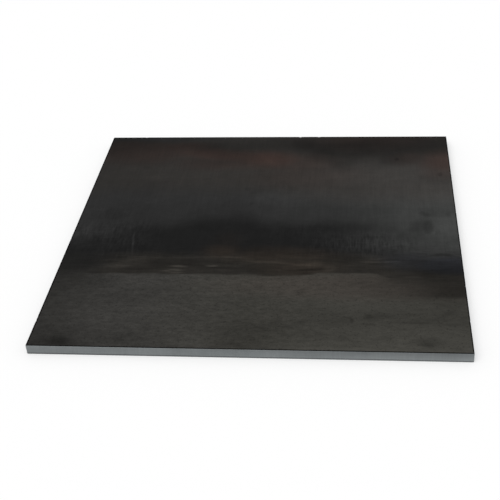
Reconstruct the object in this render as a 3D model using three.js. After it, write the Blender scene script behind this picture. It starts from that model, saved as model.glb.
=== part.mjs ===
// A square of hot-rolled steel plate, cut to size and deburred. It is one solid slab with no holes.
//
// Millimetres, +Z up. The origin is the centre of the underside. X runs along the width and Y along
// the length. The two big faces keep their dark mill scale, and the four narrow faces are cut. The
// arrises, which are the edges between them, are eased: lightly along the top, and more along the
// underside, where the burr was taken off.

import * as THREE from "three";
import { LoftGeometry } from "three/addons/geometries/LoftGeometry.js";

// Driving dimensions
const PLATE_WIDTH = 400; // along X
const PLATE_LENGTH = 400; // along Y
const PLATE_THICKNESS = 10; // along Z
const UPPER_ARRIS_RADIUS = 0.5;
const LOWER_ARRIS_RADIUS = 1;
const CORNER_RADIUS = 1; // of the four upright corners, seen from above

// Each quarter round, whether of a corner or of an arris, is this many flats.
const QUARTER_STEPS = 4;

const MILL_SCALE = new THREE.MeshStandardMaterial({
  name: "mill_scale",
  color: 0x3a3936,
  roughness: 0.5,
  metalness: 0.6,
});

const quarterAngles = Array.from(
  { length: QUARTER_STEPS + 1 },
  (_, step) => ((step / QUARTER_STEPS) * Math.PI) / 2,
);

// The corners, counterclockwise from above. Each has the side of the plate it is on, and the angle
// where its arc starts.
const CORNERS = [
  { sideX: 1, sideY: -1, startAngle: -Math.PI / 2 },
  { sideX: 1, sideY: 1, startAngle: 0 },
  { sideX: -1, sideY: 1, startAngle: Math.PI / 2 },
  { sideX: -1, sideY: -1, startAngle: Math.PI },
];

// The plate's outline at one height, drawn in from its full size by inset on every side.
function outlineAt({ height, inset }) {
  const centreX = PLATE_WIDTH / 2 - inset - CORNER_RADIUS;
  const centreY = PLATE_LENGTH / 2 - inset - CORNER_RADIUS;
  return CORNERS.flatMap(({ sideX, sideY, startAngle }) =>
    quarterAngles.map(
      (angle) =>
        new THREE.Vector3(
          sideX * centreX + CORNER_RADIUS * Math.cos(startAngle + angle),
          sideY * centreY + CORNER_RADIUS * Math.sin(startAngle + angle),
          height,
        ),
    ),
  );
}

// The heights of the lower arris, from the underside up to the cut face.
function lowerArris() {
  return quarterAngles.map((angle) => ({
    height: LOWER_ARRIS_RADIUS * (1 - Math.cos(angle)),
    inset: LOWER_ARRIS_RADIUS * (1 - Math.sin(angle)),
  }));
}

// The heights of the upper arris, from the cut face up to the top.
function upperArris() {
  return quarterAngles.map((angle) => ({
    height: PLATE_THICKNESS - UPPER_ARRIS_RADIUS * (1 - Math.sin(angle)),
    inset: UPPER_ARRIS_RADIUS * (1 - Math.cos(angle)),
  }));
}

function makeSteelPlate() {
  const outlines = [...lowerArris(), ...upperArris()].map(outlineAt);
  const slab = new LoftGeometry(outlines, { capStart: true, capEnd: true });
  const plate = new THREE.Mesh(slab, MILL_SCALE);
  plate.name = "steel_plate";
  return plate;
}

const part = new THREE.Group();
part.name = "part";
part.add(makeSteelPlate());

export default part;
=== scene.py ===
"""A square of hot-rolled steel plate, lying on a pale studio floor.

Both big faces keep their mill scale, which is the dark oxide skin that rolling leaves. The four narrow
faces are bare cut steel. Sizes are in metres. The plate lies on the floor with its front edge towards -Y.
"""

import math
import random
from typing import NamedTuple

import bmesh
import bpy
from mathutils import Matrix, Vector, noise


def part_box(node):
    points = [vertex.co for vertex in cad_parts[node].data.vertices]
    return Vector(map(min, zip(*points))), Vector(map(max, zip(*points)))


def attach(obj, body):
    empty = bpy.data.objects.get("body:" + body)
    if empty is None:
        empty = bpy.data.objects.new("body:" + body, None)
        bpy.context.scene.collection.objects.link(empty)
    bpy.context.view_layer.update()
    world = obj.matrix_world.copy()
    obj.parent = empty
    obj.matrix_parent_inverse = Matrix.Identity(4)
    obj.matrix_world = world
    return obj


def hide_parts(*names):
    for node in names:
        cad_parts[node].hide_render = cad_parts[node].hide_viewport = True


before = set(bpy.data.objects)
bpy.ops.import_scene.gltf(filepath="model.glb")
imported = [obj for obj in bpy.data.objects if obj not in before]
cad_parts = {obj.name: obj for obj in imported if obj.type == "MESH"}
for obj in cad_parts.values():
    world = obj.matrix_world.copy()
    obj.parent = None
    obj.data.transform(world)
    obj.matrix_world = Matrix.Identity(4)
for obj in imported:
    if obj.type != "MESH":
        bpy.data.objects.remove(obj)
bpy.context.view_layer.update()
PLATE_LOW, PLATE_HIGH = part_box("steel_plate")
PLATE_SIZE = PLATE_HIGH - PLATE_LOW
PLATE_MIDDLE = (PLATE_LOW + PLATE_HIGH) / 2
MILLIMETRE = 0.001

bl_info = {
    "name": "Steel Plate",
    "version": (1, 0, 0),
    "blender": (4, 5, 0),
    "location": "3D View > Sidebar > Steel Plate",
    "description": "Builds a square of hot-rolled steel plate and the studio that it lies in",
    "category": "Add Mesh",
}


# Colours and node maths


def shade(red, green, blue):
    """A colour given as it shows on a screen, from 0 to 255, as the linear colour that Blender works in."""

    def linear(value):
        share = value / 255
        return share / 12.92 if share <= 0.04045 else ((share + 0.055) / 1.055) ** 2.4

    return (linear(red), linear(green), linear(blue))


# A Mix node's sockets for colours share their names with others, so they are known by number.
MIX_COVER, MIX_UNDER, MIX_OVER, MIX_RESULT = 0, 6, 7, 2


class Wire:
    """An output socket in shader maths. Arithmetic on it adds the Math nodes that work it out."""

    def __init__(self, shading, socket):
        self.shading = shading
        self.socket = socket

    def maths(self, operation, first, second=0.0):
        return self.shading.add("ShaderNodeMath", {"operation": operation}, {0: first, 1: second})

    def __add__(self, other):
        return self.maths("ADD", self, other)

    def __radd__(self, other):
        return self.maths("ADD", other, self)

    def __sub__(self, other):
        return self.maths("SUBTRACT", self, other)

    def __rsub__(self, other):
        return self.maths("SUBTRACT", other, self)

    def __mul__(self, other):
        return self.maths("MULTIPLY", self, other)

    def __rmul__(self, other):
        return self.maths("MULTIPLY", other, self)

    def __pow__(self, other):
        return self.maths("POWER", self, other)

    def most(self, other):
        return self.maths("MAXIMUM", self, other)

    def least(self, other):
        return self.maths("MINIMUM", self, other)


class Touch(NamedTuple):
    """An elliptical patch on the plate. Its place and its reach are shares of the plate's width and length.

    The strength is how fully it covers, or how much lighter or darker it makes the scale. The softness
    is the width of its rim, as a share of its reach. The turn is in radians. The bow brings its two ends
    nearer the front, by that many times its reach.
    """

    centre: tuple
    reach: tuple
    strength: float
    softness: float = 0.7
    turn: float = 0.0
    bow: float = 0.0


class Shading:
    """A node tree that is being filled, and the patterns that this plate's finishes are made from."""

    def __init__(self, tree):
        self.tree = tree
        self.tree.nodes.clear()

    def add(self, kind, settings=None, sockets=None, output=0):
        """Adds one node: its settings first, then the value or the wire of each socket. Returns an output."""
        node = self.tree.nodes.new(kind)
        for name, value in (settings or {}).items():
            setattr(node, name, value)
        for key, value in (sockets or {}).items():
            if isinstance(value, Wire):
                self.tree.links.new(value.socket, node.inputs[key])
            else:
                node.inputs[key].default_value = value
        return Wire(self, node.outputs[output]) if node.outputs else None

    def vector(self, operation, sockets, output="Vector"):
        return self.add("ShaderNodeVectorMath", {"operation": operation}, sockets, output)

    def colour(self, rgb):
        return (*rgb, 1.0)

    def paint(self, under, over, cover):
        """The colour under, with over laid on it where cover is 1."""
        under, over = (c if isinstance(c, Wire) else self.colour(c) for c in (under, over))
        sockets = {MIX_COVER: cover, MIX_UNDER: under, MIX_OVER: over}
        return self.add("ShaderNodeMix", {"data_type": "RGBA"}, sockets, MIX_RESULT)

    def tone(self, colour, level):
        """The colour made lighter or darker by the level, which is 1 where it stays."""
        return self.vector("SCALE", {"Vector": colour, "Scale": level})

    def rise(self, value, at, spread):
        """0 well below the place called at, 1 well above it, and a smooth step between."""
        return self.add(
            "ShaderNodeMapRange",
            {"interpolation_type": "SMOOTHSTEP"},
            {"Value": value, "From Min": at - spread, "From Max": at + spread},
        )

    def between(self, value, low, high, spread):
        """1 between two places, and 0 beyond them, with a smooth step at each."""
        return self.rise(value, low, spread) * (1 - self.rise(value, high, spread))

    def grain(self, place, size, detail=2.0, roughness=0.5):
        """Noise from 0 to 1 whose blotches are about that size, in metres."""
        return self.add(
            "ShaderNodeTexNoise",
            {},
            {"Vector": place, "Scale": 1 / size, "Detail": detail, "Roughness": roughness},
        )

    def stretched(self, place, scale, turn=0.0):
        """The place, turned about Z and then squeezed, so that a pattern read from it is drawn out."""
        return self.add(
            "ShaderNodeMapping", {}, {"Vector": place, "Rotation": (0.0, 0.0, turn), "Scale": scale}
        )

    def wandering(self, place, size, reach):
        """The place, moved about by noise, so that a pattern read from it has an uneven outline."""
        push = self.add(
            "ShaderNodeTexNoise",
            {},
            {"Vector": place, "Scale": 1 / size, "Detail": 3.0, "Roughness": 0.55},
            "Color",
        )
        push = self.vector("SUBTRACT", {0: push, 1: (0.5, 0.5, 0.5)})
        push = self.vector("SCALE", {"Vector": push, "Scale": 2 * reach})
        return self.vector("ADD", {0: place, 1: push})

    def shares(self, place):
        """The place as shares of the plate: 0 to 1 from left to right, and 0 to 1 from front to back."""
        from_corner = self.vector("SUBTRACT", {0: place, 1: (PLATE_LOW.x, PLATE_LOW.y, 0.0)})
        return self.vector("MULTIPLY", {0: from_corner, 1: (1 / PLATE_SIZE.x, 1 / PLATE_SIZE.y, 0.0)})

    def parts(self, vector):
        """The X, Y and Z of a vector."""
        outputs = self.add("ShaderNodeSeparateXYZ", {}, {0: vector}).socket.node.outputs
        return [Wire(self, output) for output in outputs]

    def measured(self, where, centre, heading, reach):
        """How far along the heading a place is from the centre, counted in reaches."""
        line = [part / reach for part in heading]
        start = line[0] * centre[0] + line[1] * centre[1]
        return self.vector("DOT_PRODUCT", {0: where, 1: (*line, 0.0)}, "Value") - start

    def spot(self, where, touch):
        """1 inside the touch's ellipse and 0 outside it."""
        if touch.turn or touch.bow:
            cosine, sine = math.cos(touch.turn), math.sin(touch.turn)
            sideways = self.measured(where, touch.centre, (cosine, sine), touch.reach[0])
            endways = self.measured(where, touch.centre, (-sine, cosine), touch.reach[1])
            endways = endways + touch.bow * sideways * sideways
            radius = (sideways * sideways + endways * endways) ** 0.5
        else:
            reaches = [1 / part for part in touch.reach]
            start = [-middle * part for middle, part in zip(touch.centre, reaches)]
            away = self.vector("MULTIPLY_ADD", {0: where, 1: (*reaches, 0.0), 2: (*start, 0.0)})
            radius = self.vector("LENGTH", {0: away}, "Value")
        return 1 - self.rise(radius, 1.0, touch.softness)

    def covered(self, where, touches):
        """How strongly the touches cover each place. The strongest counts where they overlap."""
        cover = None
        for touch in touches:
            spot = touch.strength * self.spot(where, touch)
            cover = spot if cover is None else cover.most(spot)
        return cover

    def touched(self, where, touches):
        """The level to which the touches lighten or darken each place, which is 1 where none reaches."""
        level = 1.0
        for touch in touches:
            level = level * (1 + touch.strength * self.spot(where, touch))
        return level

    def bumps(self, height, depth):
        """A normal for a surface with that height pattern, whose 0 to 1 is so many metres deep."""
        return self.add("ShaderNodeBump", {}, {"Height": height, "Strength": 1.0, "Distance": depth})


def new_finish(name):
    """A new material, and the shading that fills its tree."""
    material = bpy.data.materials.new(name)
    material.use_nodes = True
    return material, Shading(material.node_tree)


def steel_surface(shading, **sockets):
    """Ends a finish in a Principled shader with these sockets, given by their names with underscores."""
    named = {name.replace("_", " "): value for name, value in sockets.items()}
    shader = shading.add("ShaderNodeBsdfPrincipled", {}, named)
    shading.add("ShaderNodeOutputMaterial", {}, {"Surface": shader})


# Settings


def colour_setting(name, description, default):
    """A colour that the user may change."""
    return bpy.props.FloatVectorProperty(
        name=name, description=description, default=default, subtype="COLOR", min=0.0, max=1.0
    )


def length_setting(name, description, default, least):
    """A small length that the user may change, and the least that it may be."""
    return bpy.props.FloatProperty(
        name=name, description=description, default=default, min=least, unit="LENGTH", precision=5
    )


class SteelPlateSettings(bpy.types.PropertyGroup):
    """The sizes and colours of the plate."""

    upper_arris: length_setting(
        "Upper arris", "Radius of the eased edge round the upper face", 0.5 * MILLIMETRE, 0.1 * MILLIMETRE
    )
    lower_arris: length_setting(
        "Lower arris", "Radius of the eased edge round the underside", 1.0 * MILLIMETRE, 0.1 * MILLIMETRE
    )
    corner_radius: length_setting(
        "Corner radius",
        "Radius of the four upright corners, seen from above",
        1.0 * MILLIMETRE,
        0.1 * MILLIMETRE,
    )
    mesh_pitch: length_setting(
        "Mesh pitch", "Side of one face of the mesh on the two big faces", 2.5 * MILLIMETRE, 1.0 * MILLIMETRE
    )
    unevenness: length_setting(
        "Unevenness", "How far the rolled upper face dips below a true plane", 0.12 * MILLIMETRE, 0.0
    )
    nick_count: bpy.props.IntProperty(
        name="Nicks",
        description="How many small nicks handling has left in the upper arris",
        default=14,
        min=0,
    )
    front_colour: colour_setting(
        "Front field", "Colour of the dull scale along the front of the upper face", shade(57, 56, 54)
    )
    olive_front_colour: colour_setting(
        "Olive front field",
        "Colour of the dull scale from the middle to the right, where it is faintly olive",
        shade(60, 59, 55),
    )
    warm_front_colour: colour_setting(
        "Warm front field",
        "Colour of the dull scale where it is warmer, along its border on the right",
        shade(62, 58, 54),
    )
    rear_colour: colour_setting(
        "Rear field", "Colour of the smooth scale on the rear of the upper face", shade(42, 42, 42)
    )
    warm_colour: colour_setting(
        "Warm rear field", "Colour of the smooth scale towards the back edge", shade(47, 45, 43)
    )
    # The pale side's two colours are a painted reflection of a light on the scale.
    pale_reflection_colour: colour_setting(
        "Pale side", "Colour of the scale towards the right-hand edge", shade(60, 61, 60)
    )
    warm_pale_reflection_colour: colour_setting(
        "Warm pale side",
        "Colour of the scale where it is both pale and warm, towards the back on the right",
        shade(60, 58, 56),
    )
    # The dark band's colour is a painted dark reflection on the scale.
    dark_reflection_colour: colour_setting("Dark band", "Colour of the band across the middle", shade(23, 23, 23))
    brown_colour: colour_setting(
        "Brown band", "Colour of the streaked band behind the front field", shade(38, 36, 33)
    )
    warm_brown_colour: colour_setting(
        "Warm brown band", "Colour of the streaked band where it is warmer", shade(60, 49, 39)
    )
    blued_colour: colour_setting(
        "Blued patch", "Colour of the blued scale by the right-hand edge", shade(37, 38, 41)
    )
    rust_colour: colour_setting(
        "Rust tint", "Colour of the faint rusty tint towards the rear edge", shade(62, 46, 41)
    )
    rim_colour: colour_setting(
        "Rim", "Colour of the scale along the arris of the upper face", shade(10, 10, 10)
    )
    cut_colour: colour_setting("Cut steel", "Colour of the bare steel on the cut faces", shade(116, 120, 121))


class PlateStudioSettings(bpy.types.PropertyGroup):
    """The floor, the light and the camera."""

    floor_colour: colour_setting("Floor", "Colour of the floor", (0.6, 0.6, 0.6))
    floor_width: bpy.props.FloatProperty(
        name="Floor width",
        description="Side of the square floor",
        default=40.0,
        min=1.0,
        unit="LENGTH",
    )
    sky_level: bpy.props.FloatProperty(
        name="Sky level",
        description="Share of the light that comes evenly from all round",
        default=0.7,
        min=0.0,
        max=1.0,
        subtype="FACTOR",
    )
    lamp_spread: bpy.props.FloatProperty(
        name="Lamp spread",
        description="Angle that the soft lamp fills, seen from the plate",
        default=math.radians(50),
        min=0.0,
        max=math.radians(180),
        subtype="ANGLE",
    )
    camera_place: bpy.props.FloatVectorProperty(
        name="Camera place",
        description="Where the camera stands",
        default=(0.1026, -0.9046, 0.5939),
        subtype="TRANSLATION",
        unit="LENGTH",
    )
    camera_heading: bpy.props.FloatProperty(
        name="Camera heading",
        description="How far the camera is turned from +Y towards -X",
        default=math.radians(7.452),
        subtype="ANGLE",
    )
    camera_dip: bpy.props.FloatProperty(
        name="Camera dip",
        description="How far the camera looks down from level",
        default=math.radians(33.897),
        subtype="ANGLE",
    )
    camera_roll: bpy.props.FloatProperty(
        name="Camera roll",
        description="How far the camera leans to its right",
        default=math.radians(3.702),
        subtype="ANGLE",
    )
    focal_length: bpy.props.FloatProperty(
        name="Focal length",
        description="Focal length of the lens, on a sensor 36 mm wide",
        default=74.67,
        min=1.0,
        subtype="DISTANCE_CAMERA",
        unit="CAMERA",
    )


# The plate's mesh

ARRIS_STEPS = 4
CUT_FACE_ROWS = 8
CLOSE = 0.01 * MILLIMETRE  # points nearer than this are one point
UPPER_FACE, CUT_FACE, UNDERSIDE = 0, 1, 2

# Each nick's place along its side is a share of half the side. Its width and depth are in millimetres.
NICK_SPREAD = 0.9
NICK_WIDTHS = (1.2, 2.6)
NICK_DEPTHS = (0.2, 0.5)
NICK_REACH = 2  # how many widths from its middle a nick is felt
NICK_FALL = 2  # how steeply its depth falls off
CORNER_NICK_PLACE = Vector((-0.176, PLATE_LOW.y, PLATE_HIGH.z))
CORNER_NICK_WIDTH = 2.4 * MILLIMETRE
CORNER_NICK_DEPTH = 0.55 * MILLIMETRE

# The upper face rises and dips over these distances, as one slice of a noise pattern does.
SWELL_WIDTH, SWELL_LENGTH, SWELL_SLICE = 0.09, 0.13, 3.7

# The cut faces ripple over this distance, and are drawn in by this depth on average.
RIPPLE_LENGTH = 6 * MILLIMETRE
RIPPLE_DEPTH = 0.04 * MILLIMETRE
OUTER = 0.49  # what is further from the middle than this share of a side is on a cut face

# The map that the finishes are baked through. Each area is its left, foot, right and head.
BAKE_MAP = "OFBake"
UPPER_AREA = (0.005, 0.105, 0.655, 0.995)
UNDER_AREA = (0.665, 0.105, 0.995, 0.995)
STRIP_FEET = (0.005, 0.029, 0.053, 0.077)
STRIP_HEIGHT = 0.018
CUT_AREAS = [(0.005, foot, 0.995, foot + STRIP_HEIGHT) for foot in STRIP_FEET]


def quarter_turn(steps):
    """The angles at the ends of that many equal steps of a quarter turn."""
    return [math.pi / 2 * step / steps for step in range(steps + 1)]


def edge_profile(plate):
    """The rings down the side of the plate: how far each is drawn in, and its height."""
    top = PLATE_HIGH.z
    upper = [
        (plate.upper_arris * (1 - math.sin(turn)), top - plate.upper_arris * (1 - math.cos(turn)))
        for turn in quarter_turn(ARRIS_STEPS)
    ]
    lower = [
        (plate.lower_arris * (1 - math.cos(turn)), PLATE_LOW.z + plate.lower_arris * (1 - math.sin(turn)))
        for turn in quarter_turn(ARRIS_STEPS)
    ]
    high, low = upper[-1][1], lower[0][1]
    face = [(0.0, high + (low - high) * row / CUT_FACE_ROWS) for row in range(1, CUT_FACE_ROWS)]
    return upper + face + lower


def draw_in(slab, verts, was, now, height):
    """Moves a level ring or face from one inset to another, and to its height."""
    factor = [(side - 2 * now) / (side - 2 * was) for side in PLATE_SIZE.xy]
    middle = Matrix.Translation(-PLATE_MIDDLE)
    bmesh.ops.scale(slab, vec=(*factor, 1), space=middle, verts=verts)
    for vert in verts:
        vert.co.z = height


def plain_slab(plate):
    """The slab with its eased arrises and corners, as a grid fine enough to be dented."""
    slab = bmesh.new()
    steps = [round(side / plate.mesh_pitch) for side in PLATE_SIZE.xy]
    bmesh.ops.create_grid(slab, x_segments=steps[0], y_segments=steps[1], size=0.5)
    bmesh.ops.scale(slab, vec=(*PLATE_SIZE.xy, 1), verts=slab.verts)
    bmesh.ops.translate(slab, vec=(*PLATE_MIDDLE.xy, PLATE_HIGH.z), verts=slab.verts)
    corners = [vert for vert in slab.verts if len(vert.link_edges) == 2]
    bmesh.ops.bevel(
        slab,
        geom=corners,
        offset=plate.corner_radius,
        segments=ARRIS_STEPS,
        profile=0.5,
        affect="VERTICES",
        material=-1,
    )
    rings = edge_profile(plate)
    everything = slab.verts[:] + slab.edges[:] + slab.faces[:]
    copy = bmesh.ops.duplicate(slab, geom=everything)["geom"]
    under_faces = [item for item in copy if isinstance(item, bmesh.types.BMFace)]
    under_verts = [item for item in copy if isinstance(item, bmesh.types.BMVert)]
    under_edges = {item for item in copy if isinstance(item, bmesh.types.BMEdge)}
    draw_in(slab, under_verts, 0.0, *rings[-1])
    bmesh.ops.reverse_faces(slab, faces=under_faces)
    copied = set(under_verts)
    top_verts = [vert for vert in slab.verts if vert not in copied]
    draw_in(slab, top_verts, 0.0, *rings[0])
    rim = [edge for edge in slab.edges if edge.is_boundary and edge not in under_edges]
    for (was, _), (now, height) in zip(rings, rings[1:]):
        made = bmesh.ops.extrude_edge_only(slab, edges=rim)["geom"]
        rim = [item for item in made if isinstance(item, bmesh.types.BMEdge) and item.is_boundary]
        draw_in(slab, list({vert for edge in rim for vert in edge.verts}), was, now, height)
    bmesh.ops.remove_doubles(slab, verts=slab.verts, dist=CLOSE)
    bmesh.ops.recalc_face_normals(slab, faces=slab.faces)
    return slab


def give_finishes(slab, plate):
    """Gives each face its finish: scale above, bare steel round the side, scale below.

    The bare steel reaches halfway round the upper arris, and all the way round the lower one.
    """
    arris_middle = PLATE_HIGH.z - plate.upper_arris * (1 - math.cos(math.pi / 4))
    for face in slab.faces:
        height = face.calc_center_median().z
        face.smooth = True
        if height > arris_middle:
            face.material_index = UPPER_FACE
        elif height > PLATE_LOW.z + CLOSE:
            face.material_index = CUT_FACE
        else:
            face.material_index = UNDERSIDE


def nicks(plate):
    """Where each nick is on the upper arris, which way that side faces, how wide it is and how deep."""
    chance = random.Random(7)
    sides = [
        (Vector((0, -1, 0)), Vector((1, 0, 0))),
        (Vector((1, 0, 0)), Vector((0, 1, 0))),
        (Vector((0, 1, 0)), Vector((1, 0, 0))),
        (Vector((-1, 0, 0)), Vector((0, 1, 0))),
    ]
    half = PLATE_SIZE / 2
    found = []
    for number in range(plate.nick_count):
        outward, run = sides[number % len(sides)]
        along = chance.uniform(-NICK_SPREAD, NICK_SPREAD)
        place = Vector(a * (b + c * along) for a, b, c in zip(half, outward, run))
        place += PLATE_MIDDLE
        place.z = PLATE_HIGH.z
        width = chance.uniform(*NICK_WIDTHS) * MILLIMETRE
        depth = chance.uniform(*NICK_DEPTHS) * MILLIMETRE
        found.append((place, outward, width, depth))
    front = sides[0][0]
    found.append((CORNER_NICK_PLACE, front, CORNER_NICK_WIDTH, CORNER_NICK_DEPTH))
    return found


def dent_arris(slab, plate):
    """Presses each nick into the arris, on a patch of mesh that is made finer first.

    The many-sided faces round each patch are then fanned, so that they make no doubled triangles.
    """
    for place, outward, width, depth in nicks(plate):
        for reach in ((NICK_REACH + 1) * width, NICK_REACH * width):
            near = {vert for vert in slab.verts if (vert.co - place).length < reach}
            links = {edge for vert in near for edge in vert.link_edges if edge.other_vert(vert) in near}
            links = sorted(links, key=lambda edge: edge.index)
            bmesh.ops.subdivide_edges(slab, edges=links, cuts=1, use_grid_fill=True)
        push = -(outward + Vector((0, 0, 1))).normalized()
        for vert in slab.verts:
            distance = (vert.co - place).length / width
            if distance < NICK_REACH:
                vert.co += push * depth * math.exp(-NICK_FALL * distance * distance)
    uneven_faces = [face for face in slab.faces if len(face.verts) > 4]
    bmesh.ops.poke(slab, faces=uneven_faces, offset=0, center_mode="MEAN_WEIGHTED")


def make_uneven(slab, plate):
    """Lets the upper face dip gently, as rolled plate does, and the cut faces wander a little."""
    for vert in slab.verts:
        x, y, z = vert.co
        share = (z - PLATE_LOW.z) / PLATE_SIZE.z
        swell = 0.5 + 0.5 * noise.noise(Vector((x / SWELL_WIDTH, y / SWELL_LENGTH, SWELL_SLICE)))
        vert.co.z -= share * plate.unevenness * swell
        between_faces = 0.01 < share < 0.999
        if between_faces:
            ripple = noise.noise(Vector((x, y, z)) / RIPPLE_LENGTH)
            inward = PLATE_MIDDLE - vert.co
            sideways = Vector(
                math.copysign(RIPPLE_DEPTH * (1 + ripple), part) if abs(part) > OUTER * side else 0.0
                for part, side in zip(inward, PLATE_SIZE.xy)
            )
            vert.co.xy += sideways


def area_for(face):
    """A face's area in the map, the axis along its foot, whether that is turned round, and the axis up."""
    if face.material_index == UPPER_FACE:
        return UPPER_AREA, 0, False, 1
    if face.material_index == UNDERSIDE:
        return UNDER_AREA, 0, True, 1
    outward = face.normal
    if abs(outward.x) > abs(outward.y):
        return CUT_AREAS[int(outward.x > 0)], 1, outward.x < 0, 2
    return CUT_AREAS[2 + int(outward.y > 0)], 0, outward.y > 0, 2


def lay_out_map(slab):
    """Unfolds the plate for baking: most of the map for the upper face, and a strip for each cut face."""
    layer = slab.loops.layers.uv.new(BAKE_MAP)
    slab.normal_update()
    for face in slab.faces:
        (left, foot, right, head), run, turned, climb = area_for(face)
        for loop in face.loops:
            shares = [(at - low) / side for at, low, side in zip(loop.vert.co, PLATE_LOW, PLATE_SIZE)]
            over = 1 - shares[run] if turned else shares[run]
            loop[layer].uv = (left + (right - left) * over, foot + (head - foot) * shares[climb])


# Finishes

SCALE_GLOSS = {
    "Metallic": 0.3,
    "Specular_IOR_Level": 0.0,
    "Specular_Tint": (0.55, 0.55, 0.55, 1.0),
    "Coat_Roughness": 0.25,
}

RUST_TINTS = (
    Touch((0.11, 0.915), (0.15, 0.065), 0.42),
    Touch((0.215, 0.935), (0.09, 0.032), 0.5, 0.8),
    Touch((0.35, 0.888), (0.18, 0.034), 0.62, 0.8, turn=-0.16),
    Touch((0.38, 0.845), (0.15, 0.04), 0.3),
    Touch((0.48, 0.86), (0.09, 0.045), 0.74, 0.8),
    Touch((0.58, 0.84), (0.09, 0.05), 0.3, 0.8),
    Touch((0.98, 0.845), (0.06, 0.06), 0.65, 0.8),
    Touch((0.89, 0.865), (0.05, 0.035), 0.3, 0.8),
    Touch((0.97, 0.785), (0.05, 0.035), 0.3, 0.8),
    Touch((0.6, 0.77), (0.14, 0.06), 0.15),
    Touch((0.78, 1.0), (0.16, 0.07), 0.35, 0.8),
)
COOL_EDGE = Touch((0.06, 1.0), (0.26, 0.03), 1.0, 0.6)
REAR_SHADES = (
    Touch((0.38, 1.0), (0.24, 0.04), 0.38),  # a paler stretch of the back edge
    Touch((0.74, 0.925), (0.14, 0.045), -0.35, 0.5),  # the dark scalloped patch in front of it
    Touch((0.9, 0.89), (0.07, 0.05), -0.19),
    Touch((0.25, 0.88), (0.35, 0.05), -0.14),
    Touch((0.04, 0.94), (0.09, 0.05), -0.2),
    Touch((0.965, 0.925), (0.06, 0.042), -0.22),
    Touch((0.875, 0.885), (0.05, 0.05), -0.2),
    Touch((0.585, 0.955), (0.035, 0.03), -0.3),
    Touch((0.36, 0.905), (0.07, 0.03), -0.15),
    Touch((0.3, 0.94), (0.05, 0.03), -0.2),
    Touch((0.4, 0.855), (0.05, 0.03), -0.16),
    Touch((0.3, 0.835), (0.05, 0.03), -0.12),
    Touch((0.93, 0.83), (0.06, 0.035), -0.12),
    Touch((0.8, 0.9), (0.03, 0.025), -0.12),
    Touch((0.4, 0.995), (0.07, 0.012), 0.15),
    Touch((0.13, 0.995), (0.07, 0.012), 0.12),
    Touch((0.1, 0.86), (0.06, 0.03), -0.1),
    Touch((0.03, 0.905), (0.04, 0.03), -0.1),
    Touch((0.2, 0.95), (0.05, 0.02), -0.08),
    Touch((0.88, 0.975), (0.09, 0.018), -0.09),
    Touch((0.97, 0.992), (0.03, 0.014), 0.15),
    Touch((0.8, 0.845), (0.05, 0.03), -0.1),
    Touch((0.72, 0.76), (0.14, 0.03), 0.09),
    Touch((0.95, 0.655), (0.06, 0.03), 0.08),
    Touch((0.17, 0.7), (0.06, 0.04), -0.1),
    Touch((0.0, 0.8), (0.16, 0.2), -0.15),
    Touch((0.97, 0.75), (0.07, 0.03), -0.14),
    Touch((0.02, 0.61), (0.07, 0.1), 0.08),
    Touch((0.11, 0.56), (0.09, 0.06), -0.16),
    Touch((0.55, 0.585), (0.38, 0.035), -0.12),
    Touch((0.525, 0.615), (0.07, 0.05), 0.17),
    Touch((0.87, 0.59), (0.05, 0.05), 0.07),
    Touch((0.715, 0.565), (0.04, 0.035), -0.1),
    Touch((0.8, 0.575), (0.04, 0.03), -0.1),
    Touch((0.43, 0.52), (0.05, 0.03), -0.12),
    Touch((0.56, 0.66), (0.1, 0.04), 0.1),
    Touch((0.99, 0.53), (0.05, 0.06), 0.15),
    Touch((0.95, 0.405), (0.08, 0.03), 0.08),
    Touch((0.9, 0.452), (0.11, 0.03), -0.1),
)
REAR_BLEMISHES = (
    Touch((0.7, 0.856), (0.04, 0.045), -0.34),  # the lobes of the scalloped patch
    Touch((0.835, 0.86), (0.045, 0.035), -0.3),
    Touch((0.638, 0.885), (0.034, 0.04), -0.34),
    Touch((0.757, 0.898), (0.03, 0.05), -0.22),
    Touch((0.908, 0.507), (0.024, 0.03), -0.2, 0.6),  # a dark bean-shaped spot
    Touch((0.924, 0.505), (0.014, 0.029), -0.25, 0.35),
    Touch((0.919, 0.54), (0.019, 0.022), -0.12),
    Touch((0.892, 0.51), (0.013, 0.024), -0.16),
    Touch((0.882, 0.488), (0.01, 0.016), -0.09, 0.6),
    Touch((0.866, 0.514), (0.02, 0.025), 0.08),
    Touch((0.898, 0.474), (0.04, 0.03), -0.03),
    Touch((0.945, 0.575), (0.045, 0.022), -0.12),
    Touch((0.911, 0.572), (0.006, 0.008), -0.16),
    Touch((0.922, 0.563), (0.009, 0.009), -0.2),
    Touch((0.977, 0.564), (0.007, 0.01), -0.18),
    Touch((0.851, 0.861), (0.006, 0.008), -0.35),
    Touch((0.97, 0.775), (0.006, 0.01), -0.3),
    Touch((0.44, 0.693), (0.007, 0.009), -0.18),
    Touch((0.459, 0.618), (0.005, 0.009), -0.18),
    Touch((0.474, 0.65), (0.014, 0.02), 0.12),
    Touch((0.137, 0.811), (0.01, 0.01), -0.15),
    Touch((0.167, 0.753), (0.022, 0.014), 0.08),
    Touch((0.082, 0.556), (0.04, 0.024), -0.1),
    Touch((0.074, 0.572), (0.008, 0.02), -0.13),
    Touch((0.101, 0.55), (0.014, 0.017), -0.13),
    Touch((0.113, 0.572), (0.005, 0.008), 0.13),
    Touch((0.096, 0.422), (0.009, 0.01), -0.32),
)


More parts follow.
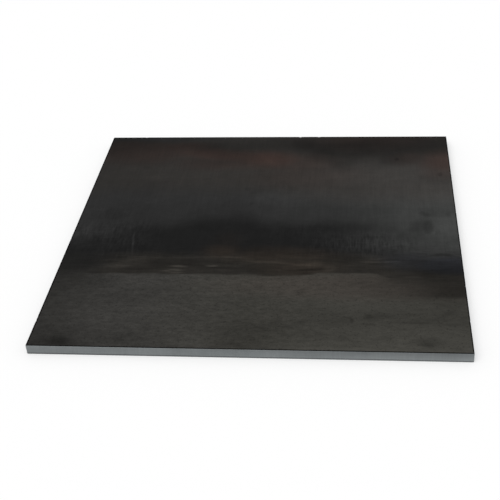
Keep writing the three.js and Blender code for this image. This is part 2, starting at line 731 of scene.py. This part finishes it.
def rear_field(shading, plate, broad, close):
    """Smooth grey scale, partly a painted sheen, paler towards the right where a painted reflection lies,
    warmer towards the back and rusty in places there.
    """
    across, along, _ = shading.parts(broad)
    # The paler right-hand side is a painted reflection of a light, laid into the scale's colour.
    pale_reflection_side = shading.rise(across, 0.74, 0.28) * shading.between(along, 0.405, 0.88, 0.07)
    cool = shading.paint(plate.rear_colour, plate.pale_reflection_colour, pale_reflection_side)
    warm = shading.paint(plate.warm_colour, plate.warm_pale_reflection_colour, pale_reflection_side)
    warm_from = along + 0.05 * shading.rise(across, 0.6, 0.1)
    rear = shading.paint(cool, warm, shading.rise(warm_from, 0.69, 0.06))
    rear = shading.paint(rear, plate.rust_colour, shading.covered(broad, RUST_TINTS))
    rear = shading.paint(rear, plate.rear_colour, shading.covered(broad, (COOL_EDGE,)))
    level = 1 - 0.5 * shading.rise(along, 0.915, 0.055)
    level = level * shading.touched(broad, REAR_SHADES) * shading.touched(close, REAR_BLEMISHES)
    return shading.tone(rear, level)


def dark_reflection_band(shading, plate, broad, rear):
    """The darkest scale, across the middle: a painted dark reflection laid into its colour. It reaches
    furthest back a little left of the middle.
    """
    across, along, _ = shading.parts(broad)
    back_edge = 0.44 + 0.077 * shading.rise(across, 0.09, 0.11) + 0.015 * shading.rise(across, 0.64, 0.06)
    back_edge = back_edge + 0.03 * shading.between(across, 0.30, 0.49, 0.05)
    dark = 1 - shading.rise(along - back_edge, 0.0, 0.048)
    dark = dark * (1 - shading.rise(across, 0.8, 0.17))
    return shading.paint(rear, plate.dark_reflection_colour, dark)


BAND_SHADES = (
    Touch((0.135, 0.44), (0.055, 0.045), 0.25, 0.8),  # rubbed places in the dark band
    Touch((0.22, 0.508), (0.07, 0.025), 0.15),
    Touch((0.08, 0.5), (0.03, 0.02), -0.15),
    Touch((0.03, 0.412), (0.03, 0.015), 0.18),
    Touch((0.13, 0.382), (0.03, 0.015), -0.14),
    Touch((0.4, 0.382), (0.03, 0.012), 0.1),
    Touch((0.7, 0.475), (0.13, 0.015), 0.1),
    Touch((0.8, 0.44), (0.03, 0.015), -0.1),
    Touch((0.66, 0.455), (0.05, 0.032), 0.25, 0.8),
    Touch((0.14, 0.316), (0.034, 0.008), 0.55),  # the left flank of a long low arch
    Touch((0.18, 0.335), (0.034, 0.015), 0.5),
    Touch((0.215, 0.356), (0.035, 0.007), 0.4),
    Touch((0.3, 0.356), (0.03, 0.004), 0.25),
    Touch((0.38, 0.36), (0.05, 0.005), 0.2),
    Touch((0.43, 0.358), (0.02, 0.005), 0.35),
    Touch((0.474, 0.35), (0.026, 0.008), 0.25, turn=-0.3),
    Touch((0.53, 0.34), (0.036, 0.007), 0.22, turn=-0.06),  # its right flank
    Touch((0.606, 0.33), (0.022, 0.005), 0.34),
    Touch((0.637, 0.33), (0.018, 0.014), 0.25),
    Touch((0.677, 0.314), (0.014, 0.013), 0.5),
    Touch((0.3, 0.341), (0.11, 0.019), -0.26),  # the darker scale under the arch
    Touch((0.215, 0.32), (0.06, 0.014), -0.2),
    Touch((0.5, 0.385), (0.05, 0.016), -0.18),
    Touch((0.515, 0.316), (0.05, 0.016), -0.26),
    Touch((0.19, 0.306), (0.07, 0.006), -0.22),
    Touch((0.42, 0.314), (0.045, 0.004), -0.25),
    Touch((0.63, 0.309), (0.055, 0.005), -0.35, turn=0.1),
    Touch((0.56, 0.295), (0.08, 0.007), -0.18),
    Touch((0.79, 0.358), (0.02, 0.004), 0.5),
    Touch((0.772, 0.346), (0.018, 0.004), 0.45),
    Touch((0.806, 0.344), (0.02, 0.004), 0.45),
    Touch((0.835, 0.346), (0.016, 0.004), 0.35),
    Touch((0.7, 0.352), (0.05, 0.016), -0.27),
    Touch((0.7, 0.3), (0.03, 0.008), -0.12),
    Touch((0.07, 0.336), (0.03, 0.018), -0.1),
    Touch((0.09, 0.3), (0.03, 0.01), 0.15),
    Touch((0.95, 0.29), (0.1, 0.035), -0.24),
    Touch((0.88, 0.283), (0.03, 0.004), 0.3),
    Touch((0.914, 0.288), (0.012, 0.012), -0.2),
    Touch((0.945, 0.268), (0.025, 0.006), -0.15),
)
WARM_TINTS = (
    Touch((0.405, 0.388), (0.045, 0.026), 0.26, 0.8),
    Touch((0.412, 0.43), (0.035, 0.04), 0.07, 0.8),
    Touch((0.55, 0.37), (0.13, 0.03), 0.24, 0.8),
    Touch((0.6, 0.32), (0.09, 0.045), 0.22, 0.8),
)
# The brown band's left end is painted in the dark reflection's colour.
BAND_END = Touch((0.02, 0.35), (0.1, 0.05), 0.45, 0.6)
BLUED_PATCHES = (
    Touch((0.985, 0.334), (0.11, 0.036), 1.0, 0.4),
    Touch((0.87, 0.346), (0.06, 0.036), 0.6, 0.6),
)
BLUED_SHADES = (
    Touch((0.96, 0.32), (0.09, 0.026), -0.28, 0.6),
    Touch((0.951, 0.38), (0.028, 0.006), -0.4, bow=0.8),
    Touch((0.88, 0.342), (0.03, 0.012), -0.12),
    Touch((0.978, 0.342), (0.02, 0.012), 0.12),
)
# Painted highlights: thin bright streaks that stand in for glints on the brown band.
HIGHLIGHT_WISPS = (
    Touch((0.301, 0.318), (0.02, 0.005), 1.0),
    Touch((0.29, 0.301), (0.024, 0.0055), 1.0),
    Touch((0.302, 0.291), (0.016, 0.003), 0.7),
    Touch((0.387, 0.323), (0.013, 0.0045), 1.0),
)


def brown_band(shading, plate, broad, close, rear):
    """Brown scale behind the front field, drawn out in streaks, with a blued patch at its right-hand end."""
    across, along, _ = shading.parts(broad)
    brown = 1 - shading.rise(along + 0.02 * shading.rise(across, 0.8, 0.05), 0.37, 0.03)
    brown = brown * (0.35 + 0.65 * shading.rise(across, 0.1, 0.05))
    rear = shading.paint(rear, plate.brown_colour, brown)
    rear = shading.paint(rear, plate.warm_brown_colour, shading.covered(broad, WARM_TINTS))
    rear = shading.paint(rear, plate.dark_reflection_colour, shading.covered(broad, (BAND_END,)))
    rear = shading.paint(rear, plate.blued_colour, shading.covered(close, BLUED_PATCHES))
    return shading.tone(rear, shading.touched(close, BAND_SHADES + BLUED_SHADES))


BORDER_TINTS = (Touch((0.76, 0.245), (0.32, 0.05), 0.8, 0.6),)
FRONT_SHADES = (
    Touch((0.0, 0.28), (0.08, 0.05), -0.14),
    Touch((0.1, 0.262), (0.05, 0.03), -0.17),
    Touch((0.05, 0.03), (0.08, 0.05), -0.12),
    Touch((0.49, 0.04), (0.07, 0.06), -0.22),
    Touch((0.85, 0.0), (0.35, 0.08), 0.24),
    Touch((0.52, 0.235), (0.2, 0.045), 0.12, 0.8),
    Touch((0.84, 0.235), (0.1, 0.045), -0.15),
    Touch((0.74, 0.19), (0.1, 0.045), 0.15),
    Touch((0.5, 0.2), (0.07, 0.04), -0.1),
    Touch((0.13, 0.2), (0.07, 0.04), -0.07),
    Touch((0.14, 0.25), (0.04, 0.025), -0.12),
    Touch((0.3, 0.245), (0.05, 0.025), -0.1),
    Touch((0.96, 0.215), (0.05, 0.04), -0.14),
    Touch((0.7, 0.1), (0.04, 0.02), -0.12),
    Touch((0.12, 0.06), (0.05, 0.02), -0.12),
    Touch((0.3, 0.15), (0.06, 0.03), 0.09),
    Touch((0.28, 0.262), (0.16, 0.03), 0.1),
    Touch((0.4, 0.03), (0.05, 0.03), 0.08),
    Touch((0.12, 0.1), (0.2, 0.05), 0.08),
    Touch((0.64, 0.055), (0.07, 0.02), -0.12),
    Touch((0.76, 0.045), (0.07, 0.02), -0.08),
    Touch((0.72, 0.006), (0.1, 0.008), 0.1),
    Touch((0.975, 0.25), (0.03, 0.015), -0.12),
    Touch((0.2, 0.03), (0.05, 0.02), -0.16),
)
FRONT_SMUDGES = (
    Touch((0.07, 0.018), (0.04, 0.022), -0.3),
    Touch((0.079, 0.016), (0.016, 0.014), -0.3),
    Touch((0.905, 0.038), (0.03, 0.015), -0.24),
    Touch((0.725, 0.12), (0.012, 0.003), -0.2, turn=-0.5),
    Touch((0.734, 0.11), (0.004, 0.008), -0.3),
    Touch((0.771, 0.123), (0.009, 0.01), -0.28),
    Touch((0.795, 0.128), (0.032, 0.012), -0.16),
    Touch((0.77, 0.099), (0.018, 0.004), -0.15),
    Touch((0.878, 0.105), (0.04, 0.004), -0.18),
    Touch((0.865, 0.137), (0.02, 0.004), -0.15),
    Touch((0.948, 0.14), (0.028, 0.008), -0.16, turn=0.7),
    Touch((0.96, 0.1), (0.03, 0.004), -0.12),
    Touch((0.898, 0.027), (0.014, 0.006), -0.22),
    Touch((0.815, 0.048), (0.014, 0.008), -0.14),
    Touch((0.62, 0.1), (0.008, 0.006), -0.2),
    Touch((0.52, 0.145), (0.05, 0.01), -0.07),
    Touch((0.63, 0.14), (0.07, 0.01), -0.07),
    Touch((0.58, 0.09), (0.06, 0.018), -0.14, turn=0.2),
    Touch((0.91, 0.115), (0.05, 0.01), -0.1),
    Touch((0.13, 0.008), (0.03, 0.012), -0.15),
)


def front_field(shading, plate, broad, close, place):
    """Dull pale scale, darker to the left, with a few smudges."""
    across, _, _ = shading.parts(broad)
    front = shading.paint(plate.front_colour, plate.olive_front_colour, shading.rise(across, 0.35, 0.2))
    front = shading.paint(front, plate.warm_front_colour, shading.covered(broad, BORDER_TINTS))
    level = 1 - 0.26 * (1 - shading.rise(across, 0.07, 0.08))
    level = level * shading.touched(broad, FRONT_SHADES) * shading.touched(close, FRONT_SMUDGES)
    close_across, close_along, _ = shading.parts(close)
    wedge = shading.rise(close_along, 0.201, 0.008) * shading.rise(close_across, 0.90, 0.075)
    level = level * (1 - 0.5 * wedge)
    clouds = shading.grain(shading.stretched(place, (0.6, 1, 1)), 34 * MILLIMETRE, 3.0, 0.5)
    return shading.tone(front, level * (1 + 0.35 * (clouds - 0.5)))


# The rubbed places are broad and faint. The hairlines in the second list are finer and clearer.
RUBBED_PLACES = (
    Touch((0.74, 0.42), (0.12, 0.05), 1.5, 0.8),
    Touch((0.6, 0.47), (0.08, 0.04), 0.9, 0.8),
    Touch((0.11, 0.45), (0.11, 0.075), 1.6, 0.8),
    Touch((0.08, 0.56), (0.08, 0.04), 0.7, 0.8),
)
HAIRLINES = (
    Touch((0.755, 0.424), (0.064, 0.024), 1.0, 0.8),
    Touch((0.781, 0.393), (0.04, 0.018), 0.5, 0.8),
)
PALE_RUB = Touch((0.775, 0.425), (0.06, 0.018), 0.28, 0.8)
SCRATCH = Touch((0.1685, 0.423), (0.0028, 0.046), 1.0, 0.5, turn=0.134)


def rub_marks(shading, place, broad):
    """How much lighter the scale is where it was rubbed: upright hairlines, and one straight scratch."""
    upright = shading.grain(shading.stretched(place, (1, 0.2, 1)), 2.6 * MILLIMETRE, 3.0, 0.6)
    slanting = shading.stretched(place, (0.12, 1, 1), math.radians(-66))
    hairs = shading.rise(shading.grain(slanting, 1.9 * MILLIMETRE), 0.6, 0.08)
    rubbed = shading.covered(broad, RUBBED_PLACES) * (1.3 * (upright - 0.47) + 0.15 * hairs)
    fine = shading.grain(shading.stretched(place, (1, 0.05, 1)), 1.7 * MILLIMETRE, 2.0, 0.6)
    rubbed = rubbed + shading.covered(broad, HAIRLINES) * (0.6 * shading.rise(fine, 0.56, 0.07) - 0.16)
    pale = PALE_RUB.strength * shading.spot(broad, PALE_RUB)
    return rubbed + pale + 0.8 * shading.spot(shading.shares(place), SCRATCH)


def rim(shading, place):
    """1 in a band along the arris of the upper face, which is widest at the left, and 0 on the rest."""
    across, along, _ = shading.parts(shading.shares(place))
    from_left = across * PLATE_SIZE.x - 0.15 * MILLIMETRE
    from_right = (1 - across) * PLATE_SIZE.x + 0.2 * MILLIMETRE
    from_front = along * PLATE_SIZE.y
    from_back = (1 - along) * PLATE_SIZE.y + 0.3 * MILLIMETRE
    nearest = from_left.least(from_right).least(from_front).least(from_back)
    return 1 - shading.rise(nearest, 1.4 * MILLIMETRE, 0.5 * MILLIMETRE)


def upper_scale(plate):
    """Mill scale in four zones from front to back: dull, brown and streaked, dark, and smooth grey. The dark
    band, the grey field's sheen and its pale right-hand side are partly painted reflections.
    """
    material, shading = new_finish("mill_scale_upper")
    place = shading.add("ShaderNodeTexCoord", output="Object")
    broad = shading.shares(shading.wandering(place, 60 * MILLIMETRE, 8 * MILLIMETRE))
    close = shading.shares(shading.wandering(place, 16 * MILLIMETRE, 1.6 * MILLIMETRE))

    # The front field's border is crisp along the middle and soft at both ends, and dips at the right.
    across, along, _ = shading.parts(close)
    torn = shading.grain(shading.stretched(place, (0.12, 1, 1)), 3.2 * MILLIMETRE, 2.0, 0.5)
    border = along + 0.01 * (torn - 0.5) - 0.014 * shading.between(across, 0.63, 0.80, 0.03)
    border = border - 0.003 * shading.between(across, 0.10, 0.52, 0.06)
    border = border + 0.02 * shading.rise(across, 0.83, 0.04)
    border = border - 0.008 * (1 - shading.rise(across, 0.085, 0.02))
    ends = 1 - shading.between(across, 0.065, 0.81, 0.04)
    crisp = shading.rise(border, 0.282, 0.005)
    soft = shading.rise(border, 0.274, 0.036)
    behind = crisp + (soft - crisp) * ends

    rear = rear_field(shading, plate, broad, close)
    rear = dark_reflection_band(shading, plate, broad, rear)
    rear = brown_band(shading, plate, broad, close, rear)
    front = front_field(shading, plate, broad, close, place)
    base = shading.paint(front, rear, behind)

    drifting = shading.wandering(place, 40 * MILLIMETRE, 5 * MILLIMETRE)
    streaks = shading.grain(shading.stretched(drifting, (0.16, 1, 1)), 7 * MILLIMETRE, 3.0, 0.55)
    drawn = shading.grain(shading.stretched(drifting, (0.1, 1, 1)), 2.4 * MILLIMETRE, 3.0, 0.7)
    grit = shading.grain(shading.stretched(place, (0.5, 1, 1)), 5 * MILLIMETRE, 3.0, 0.85)
    rolled = shading.grain(shading.stretched(place, (1, 0.06, 1)), 2.2 * MILLIMETRE, 3.0, 0.6)
    mottle = shading.grain(place, 14 * MILLIMETRE, 3.0, 0.6)
    pits = shading.rise(shading.grain(place, 2.4 * MILLIMETRE), 0.64, 0.04)
    skin = shading.grain(place, 0.7 * MILLIMETRE, 2.0, 0.7)

    # Each pattern averages about 0.5, so that with 0.5 taken off it lightens as much as it darkens.
    _, broad_along, _ = shading.parts(broad)
    streaky = shading.between(broad_along, 0.2, 0.4, 0.03)
    coarse = 1.4 - 0.5 * shading.rise(across, 0.66, 0.1)
    level = 1 + coarse * (grit - 0.5) * (0.35 + 0.65 * (1 - behind)) + 0.3 * (drawn - 0.5) * (1 - behind)
    level = level + (0.8 * (streaks - 0.5) + 0.97 * (drawn - 0.5)) * (0.15 + 0.85 * streaky) * behind
    patchy = 0.33 + 0.35 * shading.between(broad_along, 0.39, 0.50, 0.03)
    level = level + (0.36 * (rolled - 0.5) + patchy * (mottle - 0.5)) * behind
    # Painted highlights in the brown band.
    painted_highlights = shading.covered(close, HIGHLIGHT_WISPS) * shading.rise(torn, 0.42, 0.1)
    level = level + 1.35 * painted_highlights
    level = level + rub_marks(shading, place, broad)
    level = level * (1 - 0.25 * pits * (1 - behind)) * (1 + 0.5 * (skin - 0.5))
    base = shading.tone(base, level)
    along_rim = rim(shading, place)
    base = shading.paint(base, plate.rim_colour, 0.9 * along_rim)

    roughness = 0.42 + 0.13 * (1 - behind) + 0.6 * (grit - 0.5) + 0.2 * along_rim
    coat = (0.06 - 0.04 * (1 - behind)) * (1 - along_rim)
    normal = shading.bumps(grit, 0.08 * MILLIMETRE)
    steel_surface(
        shading,
        Base_Color=base,
        Roughness=roughness,
        Coat_Weight=coat,
        Normal=normal,
        **SCALE_GLOSS,
    )
    return material


UNDER_SHADES = (
    Touch((0.28, 0.7), (0.3, 0.16), -0.35, 0.8, turn=0.2),
    Touch((0.74, 0.34), (0.26, 0.12), -0.28, 0.8, turn=-0.3),
    Touch((0.86, 0.82), (0.18, 0.12), 0.2, 0.8),
    Touch((0.14, 0.22), (0.16, 0.12), 0.15, 0.8),
    Touch((0.52, 0.52), (0.1, 0.34), 0.12, 0.8, turn=0.1),
)
UNDER_STAINS = (
    Touch((0.46, 0.43), (0.06, 0.034), -0.3, 0.4, turn=0.4),
    Touch((0.51, 0.46), (0.03, 0.022), -0.25, 0.5),
    Touch((0.63, 0.61), (0.014, 0.012), -0.35, 0.5),
    Touch((0.22, 0.36), (0.02, 0.014), -0.3, 0.5),
    Touch((0.81, 0.7), (0.03, 0.01), -0.25, 0.5, turn=1.0),
)
UNDER_RUST = (
    Touch((0.05, 0.94), (0.16, 0.07), 0.75, 0.8),
    Touch((0.95, 0.12), (0.1, 0.12), 0.6, 0.8),
    Touch((0.52, 0.01), (0.24, 0.03), 0.55, 0.8),
    Touch((0.99, 0.7), (0.03, 0.16), 0.4, 0.8),
)


def under_scale(plate):
    """Mill scale for the underside: cloudy, rusty in places along its edges, and scuffed by handling."""
    material, shading = new_finish("mill_scale_under")
    place = shading.add("ShaderNodeTexCoord", output="Object")
    broad = shading.shares(shading.wandering(place, 60 * MILLIMETRE, 14 * MILLIMETRE))
    close = shading.shares(shading.wandering(place, 16 * MILLIMETRE, 2 * MILLIMETRE))
    clouds = shading.grain(shading.stretched(place, (1, 0.5, 1)), 45 * MILLIMETRE, 4.0, 0.55)
    grit = shading.grain(place, 5 * MILLIMETRE, 3.0, 0.85)
    rolled = shading.grain(shading.stretched(place, (1, 0.06, 1)), 2.6 * MILLIMETRE, 3.0, 0.6)
    mottle = shading.grain(place, 16 * MILLIMETRE, 4.0, 0.6)
    base = shading.paint(plate.rear_colour, plate.warm_colour, shading.rise(clouds, 0.5, 0.14))
    rusty = shading.covered(broad, UNDER_RUST) * shading.rise(mottle, 0.5, 0.16)
    base = shading.paint(base, plate.rust_colour, rusty)
    along_scuffs = shading.grain(shading.stretched(place, (0.03, 1, 1), 0.5), 2 * MILLIMETRE)
    across_scuffs = shading.grain(shading.stretched(place, (0.04, 1, 1), -1.2), 2 * MILLIMETRE)
    scuffs = shading.rise(along_scuffs, 0.68, 0.04).most(shading.rise(across_scuffs, 0.7, 0.04))
    level = shading.touched(broad, UNDER_SHADES) * shading.touched(close, UNDER_STAINS)
    level = level * (1 + 0.8 * (grit - 0.5) + 0.4 * (rolled - 0.5) + 0.6 * (mottle - 0.5))
    level = level * (1 + 0.35 * scuffs * shading.rise(clouds, 0.52, 0.06))
    steel_surface(
        shading,
        Base_Color=shading.tone(base, level),
        Roughness=0.45 + 0.4 * (grit - 0.5) + 0.15 * rusty,
        Coat_Weight=0.04 * (1 - rusty),
        Normal=shading.bumps(grit, 0.06 * MILLIMETRE),
        **SCALE_GLOSS,
    )
    return material


def cut_steel(plate):
    """Bare steel, dressed lengthwise, with faint upright marks of the saw, and painted shade at its foot and
    towards its head.
    """
    material, shading = new_finish("cut_steel")
    place = shading.add("ShaderNodeTexCoord", output="Object")
    dressed = shading.grain(shading.stretched(place, (0.04, 0.04, 1)), 0.7 * MILLIMETRE, 3.0, 0.6)
    sawn = shading.grain(shading.stretched(place, (1, 1, 0.1)), 1.6 * MILLIMETRE, 2.0, 0.6)
    broad = shading.grain(place, 26 * MILLIMETRE, 3.0, 0.5)
    across, _, height = shading.parts(place)
    # Painted shade: a darker band along the foot, where the lower arris turns under.
    foot = shading.between(height, 0.7 * MILLIMETRE, 1.8 * MILLIMETRE, 0.3 * MILLIMETRE)
    level = 1 + 0.3 * (dressed - 0.5) + 0.25 * (sawn - 0.5) + 0.35 * (broad - 0.5)

    # Painted shade: the steel is darker from its foot to its head, and more so towards the right-hand end.
    slope = 32 + 160 * across
    level = level * (1 - 0.5 * foot) * (1.09 - slope * (height - PLATE_MIDDLE.z))
    base = shading.tone(plate.cut_colour, level)
    steel_surface(
        shading,
        Base_Color=base,
        Roughness=0.42 + 0.2 * (dressed - 0.5),
        Metallic=0.8,
        Specular_IOR_Level=0.3,
        Normal=shading.bumps(dressed, 0.03 * MILLIMETRE),
    )
    return material


# Operators


class MESH_OT_steel_plate_add(bpy.types.Operator):
    """Builds the steel plate on the frame and gives it its finishes"""

    bl_idname = "mesh.steel_plate_add"
    bl_label = "Build the plate"

    def execute(self, context):
        plate = context.scene.steel_plate
        slab = plain_slab(plate)
        give_finishes(slab, plate)
        dent_arris(slab, plate)
        make_uneven(slab, plate)
        lay_out_map(slab)
        mesh = bpy.data.meshes.new("rolled_plate")
        slab.to_mesh(mesh)
        slab.free()
        for finish in (upper_scale, cut_steel, under_scale):
            mesh.materials.append(finish(plate))
        piece = bpy.data.objects.new("rolled_plate", mesh)
        context.scene.collection.objects.link(piece)
        even = piece.modifiers.new("even_normals", "WEIGHTED_NORMAL")
        even.keep_sharp = False
        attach(piece, "root")
        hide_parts("steel_plate")
        return {"FINISHED"}


class SCENE_OT_plate_studio_set(bpy.types.Operator):
    """Lays the floor, lights the studio and sets up the camera"""

    bl_idname = "scene.plate_studio_set"
    bl_label = "Set the studio"

    def execute(self, context):
        studio = context.scene.plate_studio
        lay_floor(context, studio)
        light_studio(context, studio)
        place_camera(context, studio)
        return {"FINISHED"}


# The studio

LAMP_TILT = math.radians(35)  # from straight overhead
LAMP_SWING = math.radians(-30)
SENSOR_WIDTH = 36


def seen_directly(shading):
    """1 for rays from the camera and for rays that a shiny or clear surface sends, and 0 for the rest."""
    rays = shading.add("ShaderNodeLightPath", output="Is Camera Ray")
    outputs = rays.socket.node.outputs
    glossy = Wire(shading, outputs["Is Glossy Ray"])
    through = Wire(shading, outputs["Is Transmission Ray"])
    return rays.most(glossy).most(through)


def lay_floor(context, studio):
    """The floor is lit like any floor, and what it lacks of white shows to the camera as its own light."""
    tile = bmesh.new()
    bmesh.ops.create_grid(tile, x_segments=1, y_segments=1, size=0.5)
    bmesh.ops.scale(tile, vec=(studio.floor_width, studio.floor_width, 1), verts=tile.verts)
    mesh = bpy.data.meshes.new("floor")
    tile.to_mesh(mesh)
    tile.free()
    floor = bpy.data.objects.new("floor", mesh)
    context.scene.collection.objects.link(floor)
    material, shading = new_finish("pale_floor")
    matt = shading.add("ShaderNodeBsdfDiffuse", {}, {"Color": shading.colour(studio.floor_colour)})
    lacking = [1 - part for part in studio.floor_colour]
    glow = shading.add(
        "ShaderNodeEmission",
        {},
        {"Color": shading.colour(lacking), "Strength": seen_directly(shading)},
    )
    surface = shading.add("ShaderNodeAddShader", {}, {0: matt, 1: glow})
    shading.add("ShaderNodeOutputMaterial", {}, {"Surface": surface})
    mesh.materials.append(material)


def light_studio(context, studio):
    """An even sky with one wide soft lamp. Together they show a level surface in its own colour."""
    world = bpy.data.worlds.new("studio")
    world.use_nodes = True
    context.scene.world = world
    shading = Shading(world.node_tree)
    strength = studio.sky_level + (1 - studio.sky_level) * seen_directly(shading)
    white = (1.0, 1.0, 1.0, 1.0)
    sky = shading.add("ShaderNodeBackground", {}, {"Color": white, "Strength": strength})
    shading.add("ShaderNodeOutputWorld", {}, {"Surface": sky})
    lamp = bpy.data.lights.new("soft_lamp", "SUN")
    lamp.angle = studio.lamp_spread
    lamp.energy = math.pi * (1 - studio.sky_level) / math.cos(LAMP_TILT)
    soft_lamp = bpy.data.objects.new("soft_lamp", lamp)
    soft_lamp.matrix_world = Matrix.Rotation(LAMP_SWING, 4, "Z") @ Matrix.Rotation(LAMP_TILT, 4, "X")
    context.scene.collection.objects.link(soft_lamp)
    context.scene.view_settings.view_transform = "Standard"


def place_camera(context, studio):
    """The camera stands in front, a little to the right, and looks down on the plate."""
    lens = bpy.data.cameras.new("camera")
    lens.sensor_width = SENSOR_WIDTH
    lens.lens = studio.focal_length
    camera = bpy.data.objects.new("camera", lens)
    turn = (
        Matrix.Rotation(studio.camera_heading, 4, "Z")
        @ Matrix.Rotation(math.pi / 2 - studio.camera_dip, 4, "X")
        @ Matrix.Rotation(-studio.camera_roll, 4, "Z")
    )
    camera.matrix_world = Matrix.Translation(studio.camera_place) @ turn
    context.scene.collection.objects.link(camera)
    context.scene.camera = camera


# Panel and registration


class VIEW3D_PT_steel_plate(bpy.types.Panel):
    """The plate's and the studio's settings, with the buttons that build them"""

    bl_idname = "VIEW3D_PT_steel_plate"
    bl_label = "Steel Plate"
    bl_space_type = "VIEW_3D"
    bl_region_type = "UI"
    bl_category = "Steel Plate"

    def draw(self, context):
        groups = (
            (context.scene.steel_plate, MESH_OT_steel_plate_add),
            (context.scene.plate_studio, SCENE_OT_plate_studio_set),
        )
        for settings, operator in groups:
            column = self.layout.column()
            for name in type(settings).__annotations__:
                column.prop(settings, name)
            column.operator(operator.bl_idname)


CLASSES = (
    SteelPlateSettings,
    PlateStudioSettings,
    MESH_OT_steel_plate_add,
    SCENE_OT_plate_studio_set,
    VIEW3D_PT_steel_plate,
)


def register():
    for item in CLASSES:
        bpy.utils.register_class(item)
    bpy.types.Scene.steel_plate = bpy.props.PointerProperty(type=SteelPlateSettings)
    bpy.types.Scene.plate_studio = bpy.props.PointerProperty(type=PlateStudioSettings)


def unregister():
    del bpy.types.Scene.plate_studio
    del bpy.types.Scene.steel_plate
    for item in reversed(CLASSES):
        bpy.utils.unregister_class(item)


def main():
    register()
    bpy.ops.mesh.steel_plate_add()
    bpy.ops.scene.plate_studio_set()


if __name__ == "__main__":
    main()
